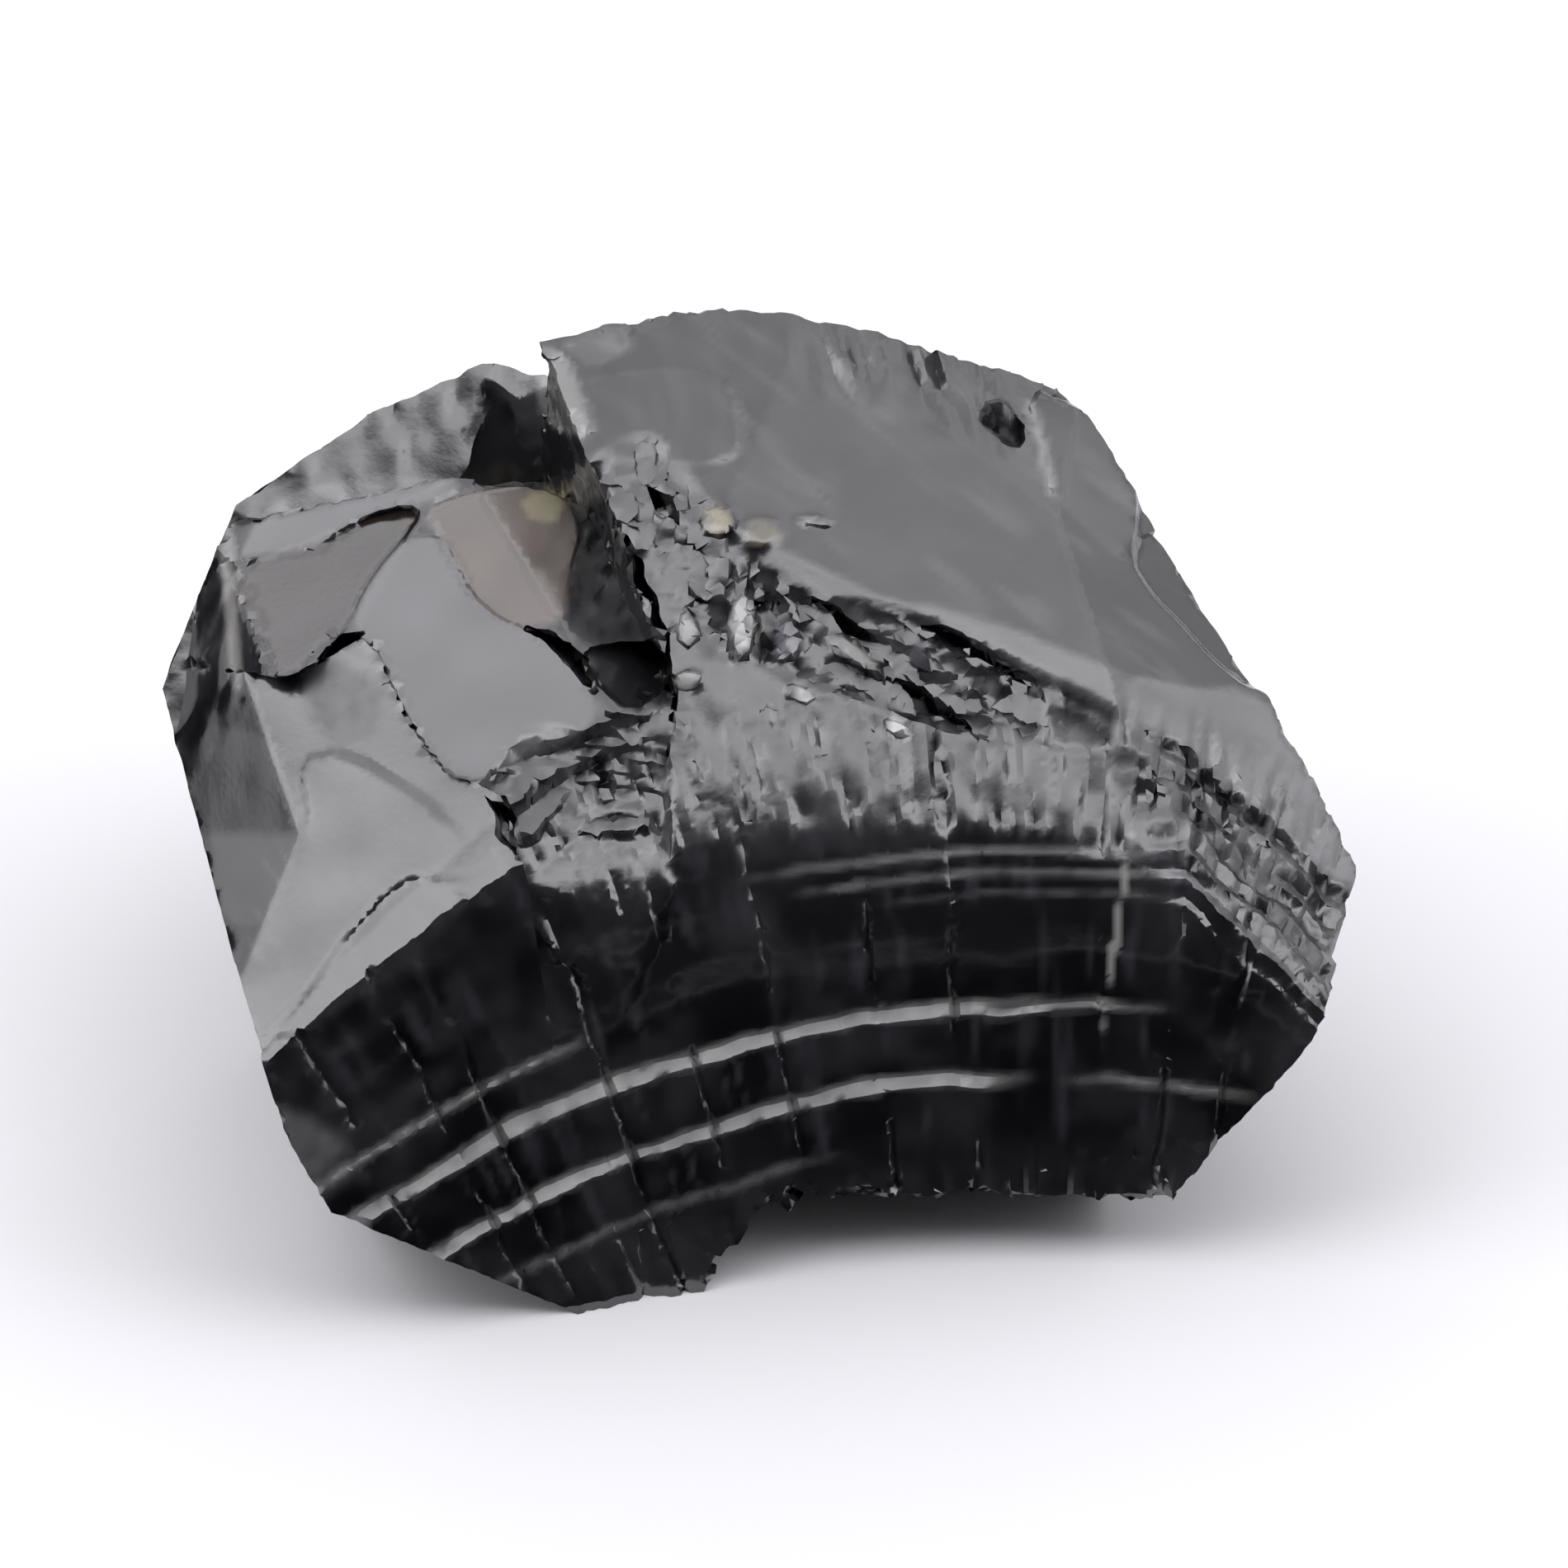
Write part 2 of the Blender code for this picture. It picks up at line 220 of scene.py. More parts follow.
# ---------------------------------------------------------------------------------------------
# The surface of each face. A fresh face is mirror smooth with long low swells. Where a fracture
# ran out it is hackled in fine ridges, and where the rock was already cracked it crumbled into
# small angular bits, worst of all in the seam between the crown and the flake.

FRONT_LOW = np.array([0.0, 0.0, 1.9], np.float32)       # mm, where "up the front" starts from
VIEW_UP = np.array([0.0, 0.616, 0.788], np.float32)     # up the front, as seen from above it
SWELL, RIPPLE = 0.035, 0.012                # mm, low waves that every fresh face has
LAYERS, LAYER_STEP = 3, 0.42                # thin layers of the flake, and mm between them
STEP_HEIGHT, STEP_WIDTH = 0.07, 0.34        # mm, small stairs under the flake's right end
TERRACE = 0.66                              # mm between the fine terraces at the right end
SEAM_LINE = [(-3.2, 18.6), (-1.9, 17.2), (-0.9, 16.0), (1.4, 15.3), (3.4, 14.4), (5.2, 13.8)]
GASHES = [  # line across and up the front, half width, depth, mm
    ([(0.9, 16.3), (1.6, 15.8), (2.3, 15.4)], 0.16, 1.0),
    ([(2.6, 14.4), (3.6, 13.8), (4.7, 13.1)], 0.15, 1.0),
    ([(3.5, 15.7), (4.6, 15.1), (5.9, 14.3)], 0.11, 0.8),
    ([(-2.5, 15.4), (-2.35, 14.0), (-2.5, 12.1)], 0.08, 0.5),
    ([(-5.7, 15.6), (-4.9, 15.1), (-4.1, 14.2)], 0.2, 0.9),
    ([(-3.6, 18.0), (-3.0, 16.6), (-2.5, 15.4)], 0.13, 0.7),
    ([(-2.9, 18.9), (-2.6, 18.4), (-2.3, 18.0)], 0.2, 0.9),
    ([(-10.5, 14.9), (-10.0, 15.3), (-9.5, 15.5)], 0.13, 0.5),
    ([(-6.5, 11.8), (-6.2, 11.1), (-5.9, 10.3)], 0.14, 0.5),
    ([(8.6, 13.2), (8.85, 12.2), (8.7, 10.9)], 0.05, 0.12),
    ([(9.4, 13.0), (9.7, 12.0), (9.6, 10.6)], 0.05, 0.12),
    ([(10.2, 12.4), (10.45, 11.5), (10.4, 10.4)], 0.05, 0.12),
]
ROUGH_PATCHES = [  # middle across and up the front, radii, strength, size of the bits, mm
    ((-9.9, 14.0), (1.0, 1.0), 0.07, 0.34),
    ((-11.6, 3.4), (1.8, 1.3), 0.14, 0.40),
]
# Facets where a plain face broke again: outline across and up the front, mm down, rise across and
# rise up in mm for each mm, and the colour of the thin film on it, which on the left side is
# painted light.
GREY, PALE, BROWN, ROSE = "4c4a4c", "6e6c6e", "251d18", "6c625c"
# PAINTED_LIGHT_GREY is painted light: the grey that the left side's slate patch gets in place of
# reflected light.
# SILVER_AND_HIGHLIGHT is a silvery film on the crown, and on the left side's sliver a painted
# highlight.
DULL, SILVER_AND_HIGHLIGHT, PAINTED_LIGHT_GREY = "2a292b", "8a8886", "464446"
FACETS = [
    # flake: narrow face along its back
    ([(-12.6, 17.2), (-12.0, 18.4), (-11.0, 19.0), (-9.4, 19.2), (-7.4, 19.2), (-7.4, 18.7),
      (-8.5, 18.5), (-9.4, 18.3), (-10.1, 17.9), (-10.7, 17.5), (-12.0, 17.3)],
     0.0, (0.0, 0.09), PALE),
    # flake: brown layer at its left
    ([(-12.6, 16.9), (-12.0, 17.3), (-10.7, 17.5), (-10.1, 17.9), (-9.4, 18.3), (-8.5, 18.5),
      (-8.2, 18.3), (-8.6, 17.7), (-9.2, 17.0), (-9.6, 16.3), (-9.8, 15.7), (-10.5, 15.2),
      (-11.0, 14.6), (-11.6, 14.6), (-11.8, 15.3), (-12.3, 16.1)], 0.12, (-0.03, -0.02), BROWN),
    # flake: wide face in the middle
    ([(-8.6, 17.7), (-9.2, 17.0), (-9.6, 16.3), (-9.8, 15.7), (-9.5, 15.3), (-9.2, 15.2),
      (-8.9, 14.5), (-8.5, 13.6), (-8.0, 12.8), (-7.4, 12.2), (-6.8, 12.1), (-6.0, 12.4),
      (-5.2, 12.8), (-4.5, 13.1), (-4.0, 13.7), (-4.3, 14.3), (-4.9, 15.0), (-5.6, 15.6),
      (-6.3, 15.8), (-7.0, 16.4), (-7.4, 17.2), (-7.8, 17.8)], 0.0, (0.02, 0.05), PALE),
    # flake: rose-stained face at its right
    ([(-7.4, 18.7), (-6.5, 18.9), (-5.6, 19.0), (-4.8, 18.6), (-4.5, 17.9), (-4.8, 16.8),
      (-4.9, 15.8), (-5.6, 15.6), (-6.3, 15.8), (-7.0, 16.4), (-7.4, 17.2), (-7.8, 17.8),
      (-8.2, 18.3)], -0.06, (0.03, 0.08), ROSE),
    # flake: step down at its right end
    ([(-4.5, 15.1), (-3.4, 15.3), (-2.6, 15.2), (-2.5, 14.2), (-3.3, 13.7), (-4.0, 14.2)],
     0.45, (-0.3, 0.0), DULL),
    # cheek: upper face
    ([(-11.0, 12.6), (-9.8, 12.8), (-8.0, 11.6), (-7.2, 10.9), (-6.6, 9.8), (-7.6, 9.8),
      (-8.3, 9.9), (-9.0, 9.4), (-9.8, 8.5), (-10.6, 7.4), (-11.4, 6.2), (-12.2, 5.3),
      (-12.5, 7.0), (-12.3, 8.6), (-11.2, 9.6), (-10.7, 11.0)], 0.0, (0.0, 0.02), DULL),
    # cheek: lower lip
    ([(-8.3, 9.9), (-7.6, 9.8), (-6.9, 9.3), (-8.0, 8.2), (-9.0, 7.4), (-10.1, 6.8), (-11.2, 6.2),
      (-11.4, 6.2), (-10.6, 7.4), (-9.8, 8.5), (-9.0, 9.4)], 0.03, (0.07, -0.06), DULL),
    # left side: painted light, a grey patch that gives this dark face the brightness of reflected
    # light
    ([(-13.2, 13.4), (-11.8, 13.2), (-11.2, 12.0), (-10.9, 10.9), (-11.1, 9.7), (-11.8, 8.7),
      (-12.7, 8.8), (-13.1, 10.5)], 0.0, (0.0, 0.0), PAINTED_LIGHT_GREY),
    # left side: painted highlight, a bright sliver along the top of the dark side
    ([(-13.0, 18.2), (-12.7, 18.3), (-12.5, 16.0), (-12.3, 14.2), (-12.6, 14.2), (-12.8, 16.0)],
     0.0, (0.0, 0.0), SILVER_AND_HIGHLIGHT),
    # crown: bright chip at its top left
    ([(-5.5, 21.8), (-4.9, 22.1), (-4.4, 20.9), (-4.2, 20.1), (-5.0, 20.2), (-5.6, 20.9)],
     0.05, (0.2, 0.0), SILVER_AND_HIGHLIGHT),
    # crown: thin plate at its top left
    ([(-4.6, 21.5), (-2.0, 21.7), (-0.9, 21.3), (-0.7, 19.6), (-2.0, 19.4), (-3.6, 19.6),
      (-4.3, 20.4)], -0.03, (0.02, 0.02), DULL),
    # crown: chip on its top edge
    ([(-5.0, 22.3), (-3.6, 22.9), (-3.3, 22.1), (-4.4, 21.7)], 0.0, (0.05, 0.08), GREY),
    # crown: blister at its right
    ([(6.0, 21.3), (7.0, 20.9), (7.8, 20.4), (8.4, 19.6), (8.5, 18.5), (8.4, 17.7), (8.1, 17.2),
      (7.3, 17.7), (6.5, 18.5), (6.2, 19.8)], -0.14, (0.12, 0.1), None),
    # crown: hollow chip along its right edge
    ([(8.3, 17.2), (8.6, 17.9), (9.5, 17.7), (9.8, 16.6), (10.6, 15.6), (11.6, 14.4),
      (11.1, 14.2), (10.2, 14.9), (9.4, 15.8), (8.8, 16.4)], 0.26, (-0.1, 0.0), None),
    # brow: small face under the strip
    ([(4.6, 13.6), (5.6, 13.9), (6.9, 13.6), (7.9, 12.9), (7.2, 12.7), (5.8, 13.0)],
     0.05, (0.0, 0.06), GREY),
    # crown: pit
    ([(4.9, 20.9), (5.3, 21.0), (5.8, 20.5), (5.8, 19.9), (5.4, 19.9), (5.0, 20.4)],
     0.1, (-0.1, 0.8), None),
    # crown: bright line beside the pit
    ([(5.8, 21.0), (6.0, 21.0), (6.4, 19.8), (6.55, 18.7), (6.35, 18.7), (6.15, 19.7)],
     0.0, (-0.3, 0.0), SILVER_AND_HIGHLIGHT),
    # bright strip: left part
    ([(3.3, 16.2), (4.6, 16.0), (5.8, 15.5), (7.0, 14.9), (8.2, 14.6), (8.2, 13.5), (6.8, 14.2),
      (5.8, 14.6), (4.6, 15.4), (3.3, 15.9)], 0.0, (0.0, 0.0), GREY),
    # bright strip: right part
    ([(8.1, 14.6), (9.8, 14.2), (10.9, 14.3), (12.2, 13.2), (13.4, 11.9), (14.1, 10.4),
      (13.9, 9.5), (12.8, 9.9), (11.7, 11.1), (10.2, 12.2), (9.5, 13.0), (8.1, 13.5)],
     0.0, (0.0, 0.0), PALE),
]
# Outline of the flake, seen from the front.
FLAKE_EDGE = [(-16, 15), (-16, 22), (-10, 24), (-3, 23), (-1, 18), (-1, 12), (-2, 9),
              (-5.6, 9.5), (-6.0, 11.6), (-6.8, 12.0), (-7.4, 12.1), (-8.0, 12.7), (-8.5, 13.5),
              (-8.9, 14.4), (-9.2, 15.1), (-9.6, 15.4), (-10.2, 15.2), (-10.7, 14.7),
              (-11.4, 14.4), (-12.2, 14.6)]
# The bright strip along the brow of the crown: its upper and lower edges across and up the front.
STRIP_TOP = [(2.4, 16.3), (3.3, 16.2), (5.8, 15.5), (8.4, 14.5), (10.0, 14.2), (14, 13.4)]
STRIP_LOW = [(2.4, 16.2), (3.3, 15.9), (4.6, 15.4), (5.8, 14.6), (6.8, 14.2), (8.1, 13.5),
             (9.5, 13.0), (10.2, 12.2), (11.7, 11.1), (12.8, 9.9), (14, 9.4)]
# Larger broken pieces that stand in the seam: middle, radii, lean in degrees, mm up, colour
PIECES = [
    ((-0.75, 15.7), (0.36, 0.95), -4, 0.22, "b4b2b0"),
    ((-2.0, 15.6), (0.24, 0.45), 0, 0.15, "949290"),
    ((-2.0, 14.4), (0.3, 0.25), 0, 0.12, "9a9896"),
    ((-1.3, 18.1), (0.5, 0.4), 0, 0.1, "8c836c"),
    ((-0.3, 17.8), (0.5, 0.4), 0, 0.06, "5e594c"),
    ((-2.6, 18.3), (0.2, 0.18), 0, 0.3, "a4a2a0"),
    ((0.9, 18.1), (0.45, 0.12), -10, 0.08, "7a7876"),
    ((0.6, 14.1), (0.36, 0.2), -30, 0.12, "a09e9c"),
    ((2.8, 13.3), (0.4, 0.18), -28, 0.14, "bcbab8"),
    ((1.9, 15.0), (0.9, 0.2), -36, 0.12, "787674"),
    ((3.2, 15.0), (0.8, 0.24), -36, 0.1, "4a4a4e"),
    ((0.3, 15.3), (0.4, 0.6), -10, 0.16, "65636a"),
    ((-5.3, 18.5), (0.6, 0.5), 0, 0.0, "8e876e"),
    ((7.9, 8.7), (0.1, 2.8), -8, 0.0, "8a8886"),
]


def bits(p, size, seed):
    """Surface broken into angular bits of a size in mm: each is a plane with a lean of its own."""
    rng = np.random.default_rng(seed)
    spot = rng.uniform(0.15, 0.85, (32 ** 3, 3)).astype(np.float32)
    lean = rng.normal(0, 0.55, (32 ** 3, 3)).astype(np.float32)
    lift = rng.uniform(-0.4, 0.4, 32 ** 3).astype(np.float32)
    q = p / np.float32(size) + np.float32(64.21)
    base = np.floor(q - 0.5).astype(np.int32)
    nearest = np.full(len(p), 99, np.float32)
    value = np.zeros(len(p), np.float32)
    for corner in np.ndindex(2, 2, 2):
        cell = base + np.array(corner, np.int32)
        key = ((cell[:, 0] & 31) * 32 + (cell[:, 1] & 31)) * 32 + (cell[:, 2] & 31)
        away = q - cell - spot[key]
        gap = (away ** 2).sum(1)
        closer = gap < nearest
        nearest = np.where(closer, gap, nearest)
        value = np.where(closer, (away * lean[key]).sum(1) + lift[key], value)
    return value * size


def near_line(u, v, line):
    """Distance to a bent line, and how far along it the nearest place is, from 0 to 1."""
    best = np.full(len(u), 99, np.float32)
    along = np.zeros(len(u), np.float32)
    runs = len(line) - 1
    for n, ((u0, v0), (u1, v1)) in enumerate(zip(line[:-1], line[1:])):
        du, dv = u1 - u0, v1 - v0
        t = np.clip(((u - u0) * du + (v - v0) * dv) / (du * du + dv * dv), 0, 1)
        gap = np.hypot(u - u0 - t * du, v - v0 - t * dv)
        along = np.where(gap < best, (n + t) / runs, along)
        best = np.minimum(best, gap)
    return best, along


def within(u, v, outline):
    """How far inside a closed outline a place lies, less than 0 outside. Its corners are cut."""
    points = np.array(outline, np.float32)
    ahead = np.roll(points, -1, axis=0)
    points = np.stack([0.78 * points + 0.22 * ahead, 0.22 * points + 0.78 * ahead], 1)
    points = points.reshape(-1, 2)
    depth = np.full(len(u), -1, np.float32)
    (left, low), (right, high) = points.min(0) - 0.3, points.max(0) + 0.3
    near = np.nonzero((u > left) & (u < right) & (v > low) & (v < high))[0]
    x, y = u[near], v[near]
    gap = np.full(len(near), 99, np.float32)
    inside = np.zeros(len(near), bool)
    for (x0, y0), (x1, y1) in zip(points, np.roll(points, -1, axis=0)):
        dx, dy = x1 - x0, y1 - y0
        t = np.clip(((x - x0) * dx + (y - y0) * dy) / (dx * dx + dy * dy), 0, 1)
        gap = np.minimum(gap, np.hypot(x - x0 - t * dx, y - y0 - t * dy))
        inside ^= ((y0 > y) != (y1 > y)) & (x < dx * (y - y0) / (dy + 1e-9) + x0)
    depth[near] = np.where(inside, gap, -gap)
    return depth


def on_piece(u, v, piece):
    """How far a place lies on a larger piece in the seam: 1 in its middle, 0 past its edge."""
    (cu, cv), (ru, rv), turn, _, _ = piece
    c, s = math.cos(math.radians(turn)), math.sin(math.radians(turn))
    a = np.abs((u - cu) * c + (v - cv) * s) / ru
    b = np.abs((v - cv) * c - (u - cu) * s) / rv
    return 1 - np.maximum(a + 0.35 * b, b + 0.35 * a)


class Marks:
    """Where each kind of break lies at the given places: across and up the front (u, v), round
    the scar (radius, arc, height), in the seam, in the hackled band and in the rough patches."""

    def __init__(self, p):
        self.u = p[:, 0]
        self.v = (p - FRONT_LOW) @ VIEW_UP
        self.small = grain(p, 1.3, 2)
        self.radius, self.arc, self.height = scar_place(p)
        gap, along = near_line(self.u, self.v, SEAM_LINE)
        self.seam = 1 - ramp(gap + 0.3 * self.small, 0.8, 1.5 - 0.6 * along)
        low = np.interp(self.arc, *zip(*BAND_LOW)).astype(np.float32)
        high = np.interp(self.arc, *zip(*BAND_HIGH)).astype(np.float32)
        wander = self.radius + 0.3 * self.small
        self.band = ramp(wander, low - 0.25, low + 0.35) * (1 - ramp(wander, high, high + 1.6))
        self.rise = ramp(wander, low - 0.2, high)
        bend = 0.02 * np.clip(34 - self.radius, 0, 9) ** 2 * ramp(self.arc, 2, 12)
        polar = np.stack([self.arc * 0.5 + bend, self.radius, self.radius * 0], 1)
        polar = polar.astype(np.float32)
        self.ridges = grain(polar, (0.17, 1.5, 1), 6) + 0.7 * grain(polar, (0.11, 0.8, 1), 7)
        self.furrows = ramp(grain(polar, (0.19, 1.8, 1), 8), 0.2, 0.7)
        down_right, across = 0.8 * self.u - 0.6 * self.v, 0.6 * self.u + 0.8 * self.v
        self.downhill = np.stack([down_right, across, self.u * 0], 1).astype(np.float32)
        self.patches = []
        for (cu, cv), (ru, rv), _, _ in ROUGH_PATCHES:
            out = np.hypot((self.u - cu) / ru, (self.v - cv) / rv) + 0.3 * self.small
            self.patches.append(1 - ramp(out, 0.7, 1.1))


def cheek_tops(p, u, v):
    """The two faces of the cheek, and the hollow that runs down its left side."""
    upper = -0.94 * (u + 10.9) - 0.34 * (v - 10.7)
    lower = -0.93 * (u + 11.0) + 0.37 * (v - 10.7)
    return met(p, CHEEK)[0] + 0.75 * np.clip(np.minimum(upper, lower), 0, 3)


def stone(p):
    """Signed distance in mm to the finished surface, less than 0 in the rock."""
    m = Marks(p)
    u, v, radius, arc, small = m.u, m.v, m.radius, m.arc, m.small
    swell = grain(p, 4.5, 1)
    tiny = grain(p, 0.45, 3)
    break_up = bits(p, 0.55, 4)
    crumbs = bits(p, 0.28, 5)
    nibble = np.maximum(0, 0.20 * break_up + 0.16 * crumbs + 0.06 * small)
    plain = SWELL * swell + RIPPLE * small

    # the seam: splinters that lie along it, with larger pieces standing among them
    lower = ramp(u, -1.2, 0.6)
    run = np.where(lower > 0.5, u * 0.86 - v * 0.51, v)
    across = np.where(lower > 0.5, u * 0.51 + v * 0.86, u)
    splinters = bits(np.stack([run * (0.5 - 0.28 * lower), across, p[:, 1] * 0.3], 1), 0.46, 11)
    rough = m.seam * (0.14 + 0.52 * splinters + 0.1 * crumbs) * (1 - 0.4 * ramp(v, 16.3, 17.3))
    for piece in PIECES:
        rough = rough - piece[3] * ramp(on_piece(u, v, piece) + 0.2 * tiny, 0.0, 0.3)
    for inside, (_, _, strength, size) in zip(m.patches, ROUGH_PATCHES):
        rough = rough + inside * strength * (0.35 + 1.6 * break_up / 0.55 * size + 1.2 * crumbs)
    steps = np.clip((13.5 - v + 0.25 * small - 0.10 * (u + 4)) / STEP_WIDTH, 0, 5)
    shelf = ramp(u, -6.2, -4.2) * (1 - ramp(u, -2.6, -2.3))
    stairs = np.floor(steps) + ramp(steps - np.floor(steps), 0.6, 1.0)
    rough = rough + STEP_HEIGHT * shelf * stairs

    relief = np.zeros(len(p), np.float32)
    for outline, down, (rise_u, rise_v), _ in FACETS:
        cu, cv = np.mean(outline, axis=0)
        inside = ramp(within(u, v, outline), -0.05, 0.06)
        relief += inside * (down - rise_u * (u - cu) - rise_v * (v - cv))

    # hackles: fine ridges that point away from where the blow landed
    hackle = m.band * (0.09 * m.ridges + (0.10 - 0.05 * ramp(u, 7, 9)) * m.furrows)
    scar, _ = front_scar(radius, arc, m.height)
    scar = scar + 0.5 * hackle

    # crown: the top face rolls over into the scar
    arcs = np.hypot(u + 5.6, v - 20.6)
    ripple = 0.05 * np.abs(((arcs / 1.05) % 1) - 0.5)
    ripple = ripple * np.clip(1 - np.abs(arcs - 3.2) / 2.4, 0, 1)
    top, low = np.interp(u, *zip(*STRIP_TOP)), np.interp(u, *zip(*STRIP_LOW))
    strip = np.clip(top - v, 0, top - low)
    drop = (0.14 - 0.12 * ramp(u, 5, 6.5)) * ramp(low - v, 0, 0.15)
    strip = 0.19 * strip + drop * ramp(u, 2.8, 4)
    fall = np.clip(low - v, 0, 4)
    turn = (fall + 0.3 * small) / TERRACE % 1
    terraces = np.minimum(turn / 0.7, (1 - turn) / 0.3) * (0.34 + 0.12 * small)
    terraces = terraces * ramp(fall, 0.05, 0.3)
    strip = strip + 0.2 * ramp(u, 5, 8.5) * np.minimum(fall, 1.6)
    strip = strip + 0.38 * ramp(u, 7.5, 9.8) * terraces
    flow = grain(m.downhill, (2.4, 0.5, 1), 14)
    teeth = np.clip((v - 20.6 - 0.35 * (2 - u)) / 1.2, 0, 1)
    teeth = teeth * ramp(u, 0.2, 1.0) * (1 - ramp(u, 5.4, 6.0))
    combed = np.stack([u + 0.3 * v, v, u * 0], 1).astype(np.float32)
    combed = grain(combed, (0.22, 1.4, 1), 12)
    crown, _ = met(p, [TOP, TOP_LEFT, TOP_EDGE, EDGE_CHIP, RIGHT_STRIP, BROW])
    wall, _ = met(p, [BAND_WALL, BAND_TOP])
    left_wall = np.minimum(face(p, CROWN_WALL) + 0.10 * break_up, wall)
    crown, edge = met(p, [crown, BACK_LEFT, left_wall])
    crown = crown + plain + 0.016 * flow + ripple + strip.astype(np.float32)
    crown = crown + hackle + rough + relief
    crown = crown + 0.15 * teeth.astype(np.float32) * combed + nibble * (1 - ramp(edge, 0.02, 0.3))
    crown = blend(crown, scar, 2.2 - 0.9 * ramp(u, 4, 9))

    # flake: three thin layers that peel away to the right
    flake = np.full(len(p), 99, np.float32)
    edge_of_flake = within(u, v, FLAKE_EDGE)
    knob = [SHOULDER, LEFT_UPPER, LEFT_LOWER, KNOB_BACK, -edge_of_flake, SEAM_UP]
    for layer in range(LAYERS):
        tops = [(f, t, d - LAYER_STEP * layer) for f, t, d in FLAKE_TOPS]
        out = face(p, STEP_RIGHT) - 0.55 * layer + 0.25 * break_up + 0.3 * small
        body, edge = met(p, [met(p, tops)[0], out] + knob)
        flake = np.minimum(flake, body + nibble * (1 - ramp(edge, 0.02, 0.25)))
    side = 0.05 * ramp(face(p, SHOULDER), -0.3, -0.05) * grain(p, (0.4, 0.5, 2.5), 13)
    flake = np.maximum(flake + plain + rough + relief + side, scar)

    # cheek, and the core that shows where the flake and the cheek have come away
    tops = cheek_tops(p, u, v) + 0.04 * small
    left = [LEFT_UPPER, LEFT_LOWER, KNOB_BACK]
    cheek, edge = met(p, [tops, SHOULDER] + left + [SEAM_LOW, edge_of_flake])
    cheek = cheek + plain + relief + side + rough * 0.8
    cheek = np.maximum(cheek + 0.5 * nibble * (1 - ramp(edge, 0.02, 0.15)), scar)
    core_top = np.maximum(tops + 0.9 + 0.35 * np.clip(10.8 - v, 0, 3), met(p, FLAKE_TOPS)[0] + 1.6)
    core, _ = met(p, [core_top, face(p, SHOULDER) + 0.5] + left + [CORE_RIGHT])
    cheek = np.minimum(cheek, blend(core + plain + 0.07 * m.ridges, scar, 2.2))

    # ledge, cut off by the notch, with a little rock left standing in it
    ribs = grain(p, (0.35, 0.6, 3.0), 8)
    ledge, edge = met(p, LEDGE)
    ledge = np.maximum(ledge, np.minimum(face(p, NOTCH), u + 7.1 + 0.5 * small + 0.3 * (20.5 - v)))
    web, _ = met(p, [NOTCH, np.abs(u + 5.7) - 1.1, v - 21.3 + 0.5 * small + 0.2 * tiny])
    ledge = np.minimum(ledge, web)
    ledge = ledge + 0.04 * ribs + plain + 0.25 * nibble * (1 - ramp(edge, 0.05, 0.3))

    rock = np.minimum(np.minimum(crown, flake), np.minimum(cheek, ledge))
    for line, half, depth in GASHES:
        gap, along = near_line(u + 0.12 * tiny, v + 0.12 * tiny, line)
        half_here = half * (0.35 + 0.65 * np.sin(np.pi * np.clip(along, 0.03, 0.97)))
        rock = np.maximum(rock, np.minimum(half_here - gap, rock + depth))

    # the block round them, and the hollows of older blows
    streak = grain(p, (0.5, 0.5, 3.0), 9)
    block, edge = met(p, [met(p, BLOCK[:2])[0]] + BLOCK[2:])
    block = block + plain + 0.03 * streak * ramp(swell, -0.3, 0.5) + 0.05 * np.abs(small)
    edge = np.minimum(edge, np.abs(rock - block))
    chipped = (1 - ramp(edge, 0.02, 0.22)) * ramp(block, -0.8, -0.3)
    rock = np.maximum(rock, block) + 0.6 * nibble * chipped
    under = np.minimum(face(p, RIM_UNDER), face(p, FOOT_RIGHT)) + 0.12 * small + 0.5 * break_up
    rock = np.maximum(rock, under)
    for n, (centre, size) in enumerate(HIDDEN_SCARS):
        q = p - np.array(centre, np.float32)
        far = np.linalg.norm(q, axis=1)
        wave = 0.03 * np.sin(q[:, 2] * (2.2 - 0.06 * q[:, 2]) + n + 2 * swell)
        wave = wave + 0.008 * grain(q, (0.5, 0.5, 4), 10)
        rock = np.maximum(rock, size - far + wave + plain)
    return np.maximum(rock, -p[:, 2])


